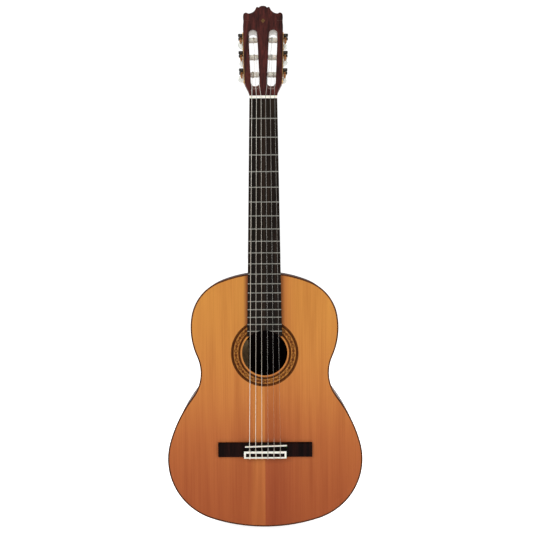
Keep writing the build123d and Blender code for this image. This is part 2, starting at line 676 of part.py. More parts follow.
def plate_screw(z):
    """Round-headed wood screw through the plate."""
    middle = (PLATE_FRONT + PLATE_REAR) / 2
    head = rod((PLATE_THICKNESS, middle, z), (PLATE_THICKNESS + 1.0, middle, z), SCREW_HEAD_RADIUS)
    head = fillet(head.edges().group_by(Axis.X)[-1], 0.8)
    head = head - block(PLATE_THICKNESS + 0.5, 9, middle - 3, middle + 3, z - 0.25, z + 0.25)
    return head + rod((PLATE_THICKNESS, middle, z), (-8, middle, z), SCREW_SHANK_RADIUS)


def screw_shanks():
    """Pilot holes for the plate screws, on both sides."""
    middle = (PLATE_FRONT + PLATE_REAR) / 2
    rods = [rod((1, middle, z), (-8, middle, z), SCREW_SHANK_RADIUS) for z in SCREW_STATIONS]
    holes = Compound(children=rods).moved(TUNER)
    return holes + mirrored(holes)


def roller(station, string_x):
    """String roller: bone sleeve, tip in the middle rib, axle through the plate, hole for the string."""
    def bar(x0, x1, radius):
        return rod((x0, ROLLER_AXIS_DEPTH, station), (x1, ROLLER_AXIS_DEPTH, station), radius)
    inner = roller_inner_end(station)
    shape = bar(inner, -0.3, ROLLER_RADIUS) + bar(inner - ROLLER_TIP_LENGTH, inner, ROLLER_TIP_RADIUS)
    outer = GEAR_START + GEAR_WIDTH
    shape = shape + bar(-0.3, GEAR_START, AXLE_RADIUS) + bar(GEAR_START, outer, AXLE_END_RADIUS)
    shape = shape - bar(outer - 5, outer + 1, SCREW_SHANK_RADIUS)
    side_x = TUNER_BASE[0] + station * tan(radians(SIDE_TILT))
    hole_x = abs(string_x) - side_x - 2.5
    return shape - rod((hole_x, 0, station), (hole_x, 20, station), 0.7)


def gear_outline(turn):
    """Gear outline as a wire in the YZ plane through the origin, turned about X."""
    pitch_radius = GEAR_MODULE * GEAR_TEETH / 2
    tip = pitch_radius + GEAR_MODULE * TOOTH_ADDENDUM
    root = pitch_radius - GEAR_MODULE * TOOTH_DEDENDUM
    tip_half, root_half = TOOTH_TIP_HALF / tip, TOOTH_ROOT_HALF / root
    corners = []
    for tooth in range(GEAR_TEETH):
        middle = 2 * pi * tooth / GEAR_TEETH + radians(turn)
        for radius, offset in ((root, -root_half), (tip, -tip_half), (tip, tip_half), (root, root_half)):
            corners.append(Vector(0, -radius * sin(middle + offset), radius * cos(middle + offset)))
    return Wire([Edge.make_line(a, b) for a, b in zip(corners, corners[1:] + corners[:1])])


def gear_wheel(station):
    """Gear with slanted teeth, and the screw that holds it on the axle."""
    pitch = pi * GEAR_MODULE
    worm_pitch_radius = WORM_OFFSET - GEAR_MODULE * GEAR_TEETH / 2
    lead = pitch / (2 * pi * worm_pitch_radius)
    slant = degrees(GEAR_WIDTH / 2 * lead / (GEAR_MODULE * GEAR_TEETH / 2))
    wires = [gear_outline(GEAR_PHASE + slant * side).moved(Location((GEAR_WIDTH * (side + 1) / 2, 0, 0)))
             for side in (-1, 1)]
    gear = Solid.make_loft(wires, ruled=True) - rod((-1, 0, 0), (GEAR_WIDTH + 1, 0, 0), AXLE_END_RADIUS)
    head = Solid.make_cone(2.6, 2.0, 1.2, Plane(origin=(GEAR_WIDTH, 0, 0), z_dir=(1, 0, 0)))
    head = head - block(GEAR_WIDTH + 0.6, GEAR_WIDTH + 2, -4, 4, -0.3, 0.3)
    screw = head + rod((GEAR_WIDTH - 5, 0, 0), (GEAR_WIDTH, 0, 0), SCREW_SHANK_RADIUS)
    place = Location((GEAR_START, ROLLER_AXIS_DEPTH, station))
    return [gear.moved(place), screw.moved(place)]


def worm():
    """Single-start thread on its core, about Z, centred on the origin."""
    pitch = pi * GEAR_MODULE
    outer = WORM_OFFSET - GEAR_MODULE * GEAR_TEETH / 2 + GEAR_MODULE * 0.85
    path = Helix(pitch=pitch, height=pitch * 6, radius=WORM_CORE_RADIUS)
    corners = [(WORM_CORE_RADIUS - 0.1, 0.52), (outer, 0.2), (outer, -0.2), (WORM_CORE_RADIUS - 0.1, -0.52)]
    points = [Vector(x, 0, z) for x, z in corners]
    face = Face(Wire([Edge.make_line(a, b) for a, b in zip(points, points[1:] + points[:1])]))
    thread = Pos(0, 0, -pitch * 3) * sweep(face, path=path, is_frenet=True)
    core = Cylinder(WORM_CORE_RADIUS, WORM_LENGTH + 12)
    return (core + thread) & Cylinder(2 * outer, WORM_LENGTH)


def worm_shaft(station):
    """Worm, its journals in the brackets, and the shaft to the button."""
    z = station + WORM_OFFSET
    place = Location((WORM_OUT, ROLLER_AXIS_DEPTH, z), (-90, 0, 0))
    y0, y1 = ROLLER_AXIS_DEPTH - WORM_LENGTH / 2, ROLLER_AXIS_DEPTH + WORM_LENGTH / 2
    front = rod((WORM_OUT, FRONT_BRACKET[0] - 0.5, z), (WORM_OUT, y0, z), SHAFT_RADIUS)
    rear = rod((WORM_OUT, y1, z), (WORM_OUT, BUTTON_START + 6, z), SHAFT_RADIUS)
    return worm().moved(place) + [front, rear]


def button(station, turn):
    """Flattened oval grip with a short collar, turned about its shaft."""
    width, length, thickness = BUTTON_SIZE
    grip = scale(Solid.make_sphere(1.0), by=(thickness / 2, length / 2, width / 2))
    collar = rod((0, -length / 2 - 2.5, 0), (0, -length / 2 + 2.5, 0), 3.0)
    shape = (grip + collar) - rod((0, -length, 0), (0, 6 - length / 2, 0), SHAFT_RADIUS)
    place = Location((WORM_OUT, BUTTON_START + length / 2, station + WORM_OFFSET), (0, turn, 0))
    return shape.moved(place)


# ---- strings ----

def string_points(string):
    """Corners of a string's run: roller, nut, saddle, through the tie block and back over it."""
    name, diameter, nut_x, saddle_x, roller_x, place, turn = string
    radius = diameter / 2
    nut_point = Vector(nut_x, nut_string_y(diameter), NUT_LENGTH * 0.4)
    axis = TUNER * Location((0, ROLLER_AXIS_DEPTH, STATIONS[place]))
    centre = Vector(roller_x, axis.position.Y, axis.position.Z)
    reach = ROLLER_RADIUS + radius + 0.35
    flat = Vector(0, centre.Y - nut_point.Y, centre.Z - nut_point.Z)
    turn_angle = asin(reach / flat.length)
    direction = atan2(flat.Y, flat.Z) - turn_angle
    length = flat.length * cos(turn_angle)
    leave = Vector(roller_x, nut_point.Y + length * sin(direction), nut_point.Z + length * cos(direction))
    crown_z = saddle_z(saddle_x)
    crown = Vector(saddle_x, -(saddle_height(saddle_x) + radius), crown_z)
    hole_y = -TIE_HOLE_HEIGHT
    over_y = -(TIE_BLOCK_HEIGHT + TRIM_THICKNESS + radius + 0.05)
    behind = TRIM_BOTTOM_Z - TIE_LOOP_BEHIND
    return [leave, nut_point, crown, Vector(saddle_x, hole_y, TIE_BLOCK_TOP_Z + 0.6),
            Vector(saddle_x, hole_y, behind), Vector(saddle_x, over_y, behind),
            Vector(saddle_x, over_y, TIE_BLOCK_TOP_Z - 1.5)]


def string_groove(string, corner):
    """Slot under a string where it bends over the nut or the saddle, open to the front."""
    points = string_points(string)
    middle = points[corner]
    radius = string[1] / 2
    floor = [middle + (other - middle).normalized() * 9 for other in (points[corner - 1], points[corner + 1])]
    floor.insert(1, middle)
    x = middle.X - radius - GROOVE_PLAY
    low = [Vector(x, p.Y + radius + 0.03, p.Z) for p in floor]
    corners = low + [Vector(x, p.Y - 12, p.Z) for p in low[::-1]]
    edges = [Edge.make_line(a, b) for a, b in zip(corners, corners[1:] + corners[:1])]
    return Solid.extrude(Face(Wire(edges)), (2 * (radius + GROOVE_PLAY), 0, 0))


def string_solid(string):
    points = string_points(string)
    radius = string[1] / 2
    path = FilletPolyline(*points, radius=[12.0, 2.5, 2.0, 1.3, 1.3])
    section = Face(Wire.make_circle(radius, Plane(origin=points[0], z_dir=points[1] - points[0])))
    return sweep(section, path=Wire(path.edges()))


def build():
    os.makedirs("parts", exist_ok=True)
    body_space = slab(body_face(), 0, DEPTH_AT_TAIL + 40)

    heel_block = end_block(HEEL_BLOCK_HALF_WIDTH, BODY_TOP_Z - HEEL_BLOCK_LENGTH, BODY_TOP_Z + 10)
    tail_block = end_block(TAIL_BLOCK_HALF_WIDTH, BODY_BOTTOM_Z - 10, BODY_BOTTOM_Z + TAIL_BLOCK_LENGTH)
    save("soundboard", soundboard())
    save("rosette", rosette())
    save("purflings", *purflings())
    save("top_binding", body_ring(0, SIDE_THICKNESS, 0, BINDING_HEIGHT))
    save("back_binding", back_ring(0, SIDE_THICKNESS, 0, BINDING_HEIGHT))
    for name, shape in zip(("side_bass", "side_treble"), sides()):
        save(name, shape)
    for name, shape in zip(("back_bass", "back_treble", "back_centre_strip"), back_plates()):
        save(name, shape)
    save("heel_block", heel_block)
    save("tail_block", tail_block)
    save("linings", *linings(heel_block + tail_block))
    save("top_braces", *top_braces())
    save("back_braces", *back_braces())
    save("label", label())

    neck, cap = neck_and_heel_cap(body_space)
    save("neck", neck)
    save("heel_cap", cap)
    fret_pieces = frets()
    save("frets", *fret_pieces)
    save("fingerboard", fingerboard(fret_pieces))
    save("headstock", headstock())
    save("headplate", headplate())
    save("head_inlay", head_inlay())

    saddle_blade = saddle()
    save("nut", nut())
    save("saddle", saddle_blade)
    save("bridge", bridge(saddle_blade))
    save("tie_block_trim", tie_block_trim())

    plate = tuner_plate().moved(TUNER)
    save("tuner_plate_treble", plate)
    save("tuner_plate_bass", mirrored(plate))
    screws = [plate_screw(z).moved(TUNER) for z in SCREW_STATIONS]
    save("plate_screws", *screws, *[mirrored(screw) for screw in screws])

    for string in STRINGS:
        name, diameter, nut_x, saddle_x, roller_x, place, turn = string
        station = STATIONS[place]
        parts = {
            "roller": [roller(station, roller_x)],
            "gear_wheel": gear_wheel(station),
            "worm_shaft": [worm_shaft(station)],
            "button": [button(station, turn)],
        }
        for part, shapes in parts.items():
            placed = [shape.moved(TUNER) for shape in shapes]
            save(part + "_" + name, *[mirrored(s) if nut_x < 0 else s for s in placed])
        save("string_" + name, string_solid(string))


if __name__ == "__main__":
    build()
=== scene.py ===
import json
import math

import bmesh
import bpy
from mathutils import Matrix, Vector


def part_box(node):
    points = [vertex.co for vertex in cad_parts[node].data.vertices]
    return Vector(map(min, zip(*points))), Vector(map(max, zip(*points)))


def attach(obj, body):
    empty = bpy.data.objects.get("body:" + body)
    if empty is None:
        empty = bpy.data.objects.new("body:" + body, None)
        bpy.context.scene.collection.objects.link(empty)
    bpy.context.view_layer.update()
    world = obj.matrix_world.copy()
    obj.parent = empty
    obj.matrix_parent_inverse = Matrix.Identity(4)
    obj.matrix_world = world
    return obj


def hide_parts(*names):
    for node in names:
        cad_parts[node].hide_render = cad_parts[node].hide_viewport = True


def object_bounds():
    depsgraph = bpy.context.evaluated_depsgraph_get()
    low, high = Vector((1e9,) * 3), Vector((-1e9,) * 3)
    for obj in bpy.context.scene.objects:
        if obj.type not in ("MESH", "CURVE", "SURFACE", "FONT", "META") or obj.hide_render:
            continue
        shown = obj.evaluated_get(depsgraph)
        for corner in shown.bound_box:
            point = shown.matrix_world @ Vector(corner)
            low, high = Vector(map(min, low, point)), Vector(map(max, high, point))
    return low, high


# Classical guitar: finishes, the rosette's mosaic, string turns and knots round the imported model. The row
# frame has +Z up the neck, the strings facing -Y and +X on the treble side. All lengths are in metres.

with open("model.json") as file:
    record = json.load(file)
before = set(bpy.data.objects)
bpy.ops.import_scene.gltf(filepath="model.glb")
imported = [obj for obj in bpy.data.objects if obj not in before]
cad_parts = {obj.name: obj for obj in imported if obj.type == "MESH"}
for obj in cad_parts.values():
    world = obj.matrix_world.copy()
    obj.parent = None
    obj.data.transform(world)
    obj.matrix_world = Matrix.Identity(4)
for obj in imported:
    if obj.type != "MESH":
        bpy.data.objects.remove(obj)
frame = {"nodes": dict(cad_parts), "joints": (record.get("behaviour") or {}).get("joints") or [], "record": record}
CAD_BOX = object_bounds()
NODES = frame["nodes"]
JOINTS = {joint["name"]: joint for joint in frame["joints"]}
RECORD = frame["record"]
MM = 0.001

STRINGS = ("e6", "a5", "d4", "g3", "b2", "e1")
WOUND = ("e6", "a5", "d4")

# Camera: in front of the guitar, a little above its middle, turned a little down
CAMERA_PLACE = Vector((3.962, -1400.0, -277.624)) * MM
CAMERA_PITCH = math.radians(-3.918)
CAMERA_ROLL = math.radians(-0.298)
CAMERA_LENS = 50.064
CAMERA_SHIFT = 0.062
SENSOR_WIDTH = 36.0

# The head leans back: each button's axis points from its face to its rear
HEAD_REAR = Vector(JOINTS["button_turn_e1"]["axis"]).normalized()
HEAD_FRONT = min(vertex.co.dot(HEAD_REAR) for vertex in NODES["headplate"].data.vertices)
# The two rollers furthest from the nut are at the same height, so one of them stands for both
TOP_ROLLER_LOW, TOP_ROLLER_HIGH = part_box("roller_g3")


# ---- shader helpers ----

# Every material by its name
MATERIALS = {}
# Where nearly all of a noise's values lie
NOISE_LOW, NOISE_HIGH = 0.3, 0.7
WHITE = (1.0, 1.0, 1.0)
# A colour mix node's sockets, which share their names with its other kinds'
MIX_PART, MIX_FIRST, MIX_SECOND, MIX_RESULT = 0, 6, 7, 2


def shader(name, **values):
    """A new material and its Principled shader, whose constants are set on the shader's own sockets."""
    material = bpy.data.materials.new(name)
    material.use_nodes = True
    MATERIALS[name] = material
    principled = material.node_tree.nodes["Principled BSDF"]
    for socket, value in values.items():
        principled.inputs[socket.replace("_", " ")].default_value = value
    return material, principled


def add(tree, kind, inputs=None, **settings):
    """A node with its settings, and its inputs, each a value or another node's output."""
    node = tree.nodes.new(kind)
    for key, value in settings.items():
        setattr(node, key, value)
    for socket, value in (inputs or {}).items():
        if isinstance(value, bpy.types.NodeSocket):
            tree.links.new(value, node.inputs[socket])
        else:
            node.inputs[socket].default_value = value
    return node


def position(tree, scale=(1, 1, 1), turn=(0, 0, 0)):
    """Where a point is on its piece, in metres in the row frame at rest, turned and stretched."""
    here = add(tree, "ShaderNodeTexCoord").outputs["Object"]
    inputs = {"Vector": here, "Scale": scale, "Rotation": turn}
    return add(tree, "ShaderNodeMapping", inputs).outputs["Vector"]


def coordinate(tree, axis):
    """One coordinate of a point in the row frame at rest."""
    return add(tree, "ShaderNodeSeparateXYZ", {0: position(tree)}).outputs[axis]


def noise(tree, vector, scale, detail=3.0, roughness=0.5, distortion=0.0):
    inputs = {"Vector": vector, "Scale": scale, "Detail": detail, "Roughness": roughness,
              "Distortion": distortion}
    return add(tree, "ShaderNodeTexNoise", inputs).outputs["Fac"]


def maths(tree, operation, a, b=0.0):
    return add(tree, "ShaderNodeMath", {0: a, 1: b}, operation=operation).outputs[0]


def product(tree, first, *others):
    for other in others:
        first = maths(tree, "MULTIPLY", first, other)
    return first


def spread(tree, value, low, high, to_low=0.0, to_high=1.0):
    """A value's part of the way from low to high, as a smooth step between two results."""
    inputs = {"Value": value, "From Min": low, "From Max": high, "To Min": to_low, "To Max": to_high}
    return add(tree, "ShaderNodeMapRange", inputs, interpolation_type="SMOOTHSTEP").outputs["Result"]


def by_noise(tree, value, to_low, to_high):
    """A noise's value as a smooth step between two results."""
    return spread(tree, value, NOISE_LOW, NOISE_HIGH, to_low, to_high)


def ramp(tree, value, stops):
    """Colours along a value, as (place, colour) stops."""
    node = add(tree, "ShaderNodeValToRGB", {"Fac": value})
    elements = node.color_ramp.elements
    while len(elements) < len(stops):
        elements.new(0.5)
    for element, (place, colour) in zip(elements, stops):
        element.position = place
        element.color = (*colour, 1.0)
    return node.outputs["Color"]


def cloudy(tree, value, dark, light=WHITE):
    """Two colours that a noise wanders between."""
    return ramp(tree, value, [(NOISE_LOW, dark), (NOISE_HIGH, light)])


def blend(tree, part, first, second, kind="MIX"):
    """The first colour, changed into the second or by it as far as a part says."""
    inputs = {MIX_PART: part}
    for socket, colour in ((MIX_FIRST, first), (MIX_SECOND, second)):
        inputs[socket] = colour if isinstance(colour, bpy.types.NodeSocket) else (*colour, 1.0)
    return add(tree, "ShaderNodeMix", inputs, data_type="RGBA", blend_type=kind).outputs[MIX_RESULT]


def tinted(tree, base, tint, part=1.0):
    """A colour multiplied by a tint, as far as a part says."""
    return blend(tree, part, base, tint, "MULTIPLY")


def bump(tree, height, strength, distance=0.2 * MM):
    inputs = {"Height": height, "Strength": strength, "Distance": distance}
    return add(tree, "ShaderNodeBump", inputs).outputs["Normal"]


def finish_shader(material, principled, colour, roughness=None, normal=None):
    links = material.node_tree.links
    for socket, value in (("Base Color", colour), ("Roughness", roughness), ("Normal", normal)):
        if value is not None:
            links.new(value, principled.inputs[socket])


# ---- woods ----

# Heights up the soundboard, as (low, high): where it turns from red and darker to golden and lighter, partly the
# wood's tone and partly painted shade, where the tints beside its seam fade, and where the painted shade along the
# fingerboard starts
LENGTHWAYS = (-0.80, -0.34)
SEAM_TINTS_FADE = (-0.62, -0.50)
SHADE_STARTS = (-0.448, -0.436)
# Distances from the centre seam, as (inner, outer), between which each tint and each painted shade fades out
HEARTWOOD_FADES = (0.02, 0.10)
PALE_FADES = (0.030, 0.040)
SHADE_FADES = (0.0315, 0.041)
TREBLE_PAINTED_SHADE_FADES = (0.034, 0.062)


def cedar():
    """Book-matched cedar: golden in the upper bout and redder and darker towards the tail, partly its own tone and
    partly painted shade, with darker heartwood on the treble side of the seam, a paler strip on the bass side,
    and painted shade along the fingerboard, darker on the bass side."""
    material, principled = shader("cedar", IOR=1.5, Specular_IOR_Level=0.14)
    tree = material.node_tree
    x, z = coordinate(tree, "X"), coordinate(tree, "Z")
    beside = maths(tree, "ABSOLUTE", x)
    treble = maths(tree, "GREATER_THAN", x, 0.0)
    bass = maths(tree, "SUBTRACT", 1.0, treble)

    # Redder and darker towards the tail: partly the cedar's own tone, partly painted shade
    base = ramp(tree, spread(tree, z, *LENGTHWAYS), [
        (0.0, (0.375, 0.090, 0.025)), (0.3, (0.455, 0.132, 0.034)),
        (0.55, (0.53, 0.183, 0.042)), (1.0, (0.585, 0.240, 0.047))])

    lower_bout = spread(tree, z, *SEAM_TINTS_FADE, 1.0, 0.3)
    wander = maths(tree, "MULTIPLY", noise(tree, position(tree, (1, 1, 3)), 1.0, 2.0), 0.02)
    edge = maths(tree, "ADD", beside, wander)
    heartwood = product(tree, spread(tree, edge, *HEARTWOOD_FADES, 1.0, 0.0), treble, lower_bout)
    base = tinted(tree, base, (0.86, 0.76, 0.86), heartwood)
    pale = product(tree, spread(tree, edge, *PALE_FADES, 1.0, 0.0), bass, lower_bout)
    base = tinted(tree, base, (1.2, 1.42, 1.35), pale)

    # Painted shade beside the fingerboard above the hole, darker on the bass side
    upper_bout = spread(tree, z, *SHADE_STARTS)
    bass_most = maths(tree, "ADD", maths(tree, "MULTIPLY", bass, 0.62), 0.38)
    shade = product(tree, spread(tree, beside, *SHADE_FADES, 1.0, 0.0), upper_bout, bass_most)
    base = tinted(tree, base, (0.50, 0.36, 0.60), shade)
    # A broader, paler painted shade beside the fingerboard on the treble side
    treble_painted_shade = product(tree, spread(tree, beside, *TREBLE_PAINTED_SHADE_FADES, 1.0, 0.0), upper_bout, treble)
    base = tinted(tree, base, (0.86, 0.74, 0.84), treble_painted_shade)

    across = maths(tree, "ADD", beside, maths(tree, "MULTIPLY", treble, 0.7))
    half = add(tree, "ShaderNodeCombineXYZ", {"X": across, "Z": z}).outputs[0]
    broad = add(tree, "ShaderNodeMapping", {"Vector": half, "Scale": (48, 1, 2.2)}).outputs[0]
    fine = add(tree, "ShaderNodeMapping", {"Vector": half, "Scale": (700, 1, 5)}).outputs[0]
    streaks = noise(tree, broad, 1.0, 3.0, 0.55, 0.4)
    grain = noise(tree, fine, 1.0, 2.0, 0.6, 0.2)
    base = tinted(tree, base, ramp(tree, streaks, [
        (0.30, (0.88, 0.82, 0.80)), (0.5, WHITE), (0.72, (1.07, 1.12, 1.1))]))
    base = tinted(tree, base, ramp(tree, grain, [(0.36, (0.91, 0.87, 0.85)), (0.58, WHITE)]))
    finish_shader(material, principled, base, by_noise(tree, grain, 0.42, 0.34),
                  bump(tree, grain, 0.08))


def grained_wood(name, dark, middle, light, streak=70.0, pores=0.3, turn=(0, 0, 0), **values):
    """Open-pored wood with its grain along Z: dark figure lines, broad bands and short pores."""
    material, principled = shader(name, **values)
    tree = material.node_tree
    bands = noise(tree, position(tree, (streak, streak * 0.6, 2.4), turn), 1.0, 5.0, 0.62, 0.9)
    lines = noise(tree, position(tree, (streak * 6, streak * 4, 9), turn), 1.0, 3.0, 0.6, 0.5)
    colour = ramp(tree, bands, [(0.34, dark), (0.5, middle), (0.68, light)])
    colour = tinted(tree, colour, ramp(tree, lines, [
        (0.36, (0.55, 0.5, 0.48)), (0.55, WHITE), (0.75, (1.12, 1.1, 1.08))]))
    specks = noise(tree, position(tree, (2600, 2600, 130), turn), 1.0, 2.0, 0.5)
    hollow = spread(tree, specks, 0.28, 0.42, 1.0, 0.0)
    colour = blend(tree, maths(tree, "MULTIPLY", hollow, pores), colour, dark)
    height = maths(tree, "SUBTRACT", maths(tree, "MULTIPLY", lines, 0.3), hollow)
    finish_shader(material, principled, colour, by_noise(tree, lines, 0.42, 0.3),
                  bump(tree, height, 0.12))


def plain_wood(name, dark, light, **values):
    """Wood whose middle colour is halfway between its dark and its light one."""
    grained_wood(name, dark, tuple((a + b) / 2 for a, b in zip(dark, light)), light, **values)


# Depths in the row frame between which a slot's wall turns from greyish to pale: painted light, as if falling in
# from behind the head
SLOT_PAINTED_LIGHT_DEPTHS = (0.036, 0.044)
# Depth of the pale rim along a string ramp's edge, partly a painted highlight on the edge
RIM_DEPTH = 0.9 * MM


def slot_wall():
    """Bare wood inside the slots: greyish streaks by the face, and paler towards the rear with painted light
    falling in from behind.
    """
    material, principled = shader("slot_wall", Specular_IOR_Level=0.3)
    tree = material.node_tree
    bands = noise(tree, position(tree, (40, 260, 40)), 1.0, 3.0, 0.6, 0.3)
    colour = ramp(tree, bands, [
        (0.34, (0.26, 0.22, 0.19)), (0.5, (0.52, 0.48, 0.44)), (0.62, (0.74, 0.71, 0.67))])
    # Paler towards the rear: painted light falling in from behind the head
    depth = spread(tree, coordinate(tree, "Y"), *SLOT_PAINTED_LIGHT_DEPTHS)
    colour = blend(tree, depth, colour, (0.92, 0.91, 0.89))
    finish_shader(material, principled, colour, by_noise(tree, bands, 0.5, 0.35),
                  bump(tree, bands, 0.1))


def ramp_rim():
    """Cut edge of the head's plate in the string ramps: a pale rim by the face, partly the plate's pale edge and
    partly a painted highlight, brown below it.
    """
    material, principled = shader("ramp_rim", Specular_IOR_Level=0.1)
    tree = material.node_tree
    streaks = noise(tree, position(tree, (500, 500, 40)), 1.0, 3.0, 0.6, 0.3)
    below = cloudy(tree, streaks, (0.040, 0.012, 0.009), (0.080, 0.028, 0.020))
    # Pale rim by the face: a painted highlight on the cut edge, partly the plate's own pale edge
    edge_highlight_and_wear = cloudy(tree, streaks, (0.17, 0.10, 0.085), (0.24, 0.15, 0.13))
    inwards = add(tree, "ShaderNodeVectorMath", {0: position(tree), 1: HEAD_REAR}, operation="DOT_PRODUCT")
    depth = spread(tree, inwards.outputs["Value"], HEAD_FRONT + RIM_DEPTH, HEAD_FRONT + 1.5 * RIM_DEPTH)
    finish_shader(material, principled, blend(tree, depth, edge_highlight_and_wear, below),
                  by_noise(tree, streaks, 0.5, 0.35))


# ---- bone, metal, plastic and paper ----

def speckled(name, dark, light, scale, rough=(0.25, 0.4), relief=0.05, **values):
    """A fine cloudy surface: bone, paper, cast or plated metal, by its colours and its shader's values."""
    material, principled = shader(name, **values)
    tree = material.node_tree
    cloud = noise(tree, position(tree), scale, 4.0, 0.6, 0.3)
    fine = noise(tree, position(tree), scale * 9, 3.0, 0.55)
    colour = ramp(tree, cloud, [(0.35, dark), (0.65, light)])
    finish_shader(material, principled, colour, by_noise(tree, fine, *rough),
                  bump(tree, fine, relief, 0.1 * MM))


def pearl():
    """Pearloid: soft folds of white, grey-green and pink under a clear gloss."""
    material, principled = shader("pearl", Coat_Weight=0.6, Coat_Roughness=0.04, Sheen_Weight=0.2)
    tree = material.node_tree
    folds = noise(tree, position(tree, (1, 1, 1.6)), 130, 3.0, 0.5, 2.2)
    colour = ramp(tree, folds, [(0.3, (0.50, 0.52, 0.47)), (0.46, (0.78, 0.78, 0.72)),
                                (0.58, (0.70, 0.74, 0.66)), (0.72, (0.86, 0.84, 0.80))])
    finish_shader(material, principled, colour, by_noise(tree, folds, 0.3, 0.14))


# ---- strings' materials ----

# Heights in the row frame between which a string's colour is given, from behind the saddle to the head
STRING_LOW, STRING_HIGH = -0.655, 0.185
# Colours up a string, as (height, colour): over bridge, lower bout, hole, fingerboard and head. They are painted
# light: painted highlights on the wire towards the bridge, painted shade over the hole and the fingerboard, and on
# the nylon the wood's colour painted on over the soundboard
WIRE_PAINTED_LIGHT = [(-0.65, (1.0, 0.95, 0.84)), (-0.53, (1.0, 0.92, 0.80)), (-0.50, (0.62, 0.56, 0.48)),
                (0.0, (0.68, 0.65, 0.59)), (0.012, (0.96, 0.93, 0.87))]
NYLON_PAINTED_LIGHT = [(-0.65, (0.80, 0.75, 0.66)), (-0.635, (0.50, 0.22, 0.11)), (-0.53, (0.60, 0.30, 0.14)),
                 (-0.515, (0.25, 0.23, 0.21)), (-0.38, (0.36, 0.34, 0.31)), (0.0, (0.40, 0.38, 0.35)),
                 (0.012, (0.56, 0.54, 0.50))]
WORN_COLOURS = [(-0.655, (0.62, 0.54, 0.42)), (0.0, (0.46, 0.38, 0.28))]


def up_string(tree, stops):
    """A colour that changes along a string: painted light and shade from what lies behind it, and what shows
    through it.
    """
    part = add(tree, "ShaderNodeMapRange", {
        "Value": coordinate(tree, "Z"), "From Min": STRING_LOW, "From Max": STRING_HIGH})
    places = [((height - STRING_LOW) / (STRING_HIGH - STRING_LOW), colour) for height, colour in stops]
    return ramp(tree, part.outputs["Result"], places)


def wound_metal(name, colours, **values):
    """Silver-plated wire wound round the string, in fine ridges, with wear that leaves it dimmer in places."""
    material, principled = shader(name, **values)
    tree = material.node_tree
    turns = add(tree, "ShaderNodeTexWave", {"Vector": position(tree), "Scale": 520.0, "Distortion": 0.4},
                bands_direction="Z").outputs["Fac"]
    edge_highlight_and_wear = noise(tree, position(tree, (1, 1, 0.2)), 400, 2.0)
    colour = tinted(tree, up_string(tree, colours), cloudy(tree, edge_highlight_and_wear, (0.78, 0.76, 0.73)))
    finish_shader(material, principled, colour, by_noise(tree, edge_highlight_and_wear, 0.38, 0.26),
                  bump(tree, turns, 0.35, 0.12 * MM))


def clear_nylon():
    """Clear nylon: dim and half see-through, its colour up the string painted after what lies behind it, with a
    soft line of light.
    """
    material, principled = shader("nylon", IOR=1.5, Specular_IOR_Level=0.4, Alpha=0.5)
    tree = material.node_tree
    cloud = noise(tree, position(tree, (1, 1, 0.02)), 90, 2.0)
    colour = tinted(tree, up_string(tree, NYLON_PAINTED_LIGHT), cloudy(tree, cloud, (0.86, 0.86, 0.86)))
    finish_shader(material, principled, colour, by_noise(tree, cloud, 0.24, 0.32))


# ---- the list of materials ----

# What the mosaic's veneers, the thin edge lines and the bone pieces have in common, and grain along X
VENEER = {"streak": 150.0, "Specular_IOR_Level": 0.06}
THIN_EDGE = {"streak": 50.0, "Specular_IOR_Level": 0.1}
BONE_DEPTH = {"Subsurface_Weight": 0.1, "Subsurface_Scale": 2 * MM}
ACROSS = (0, math.pi / 2, 0)


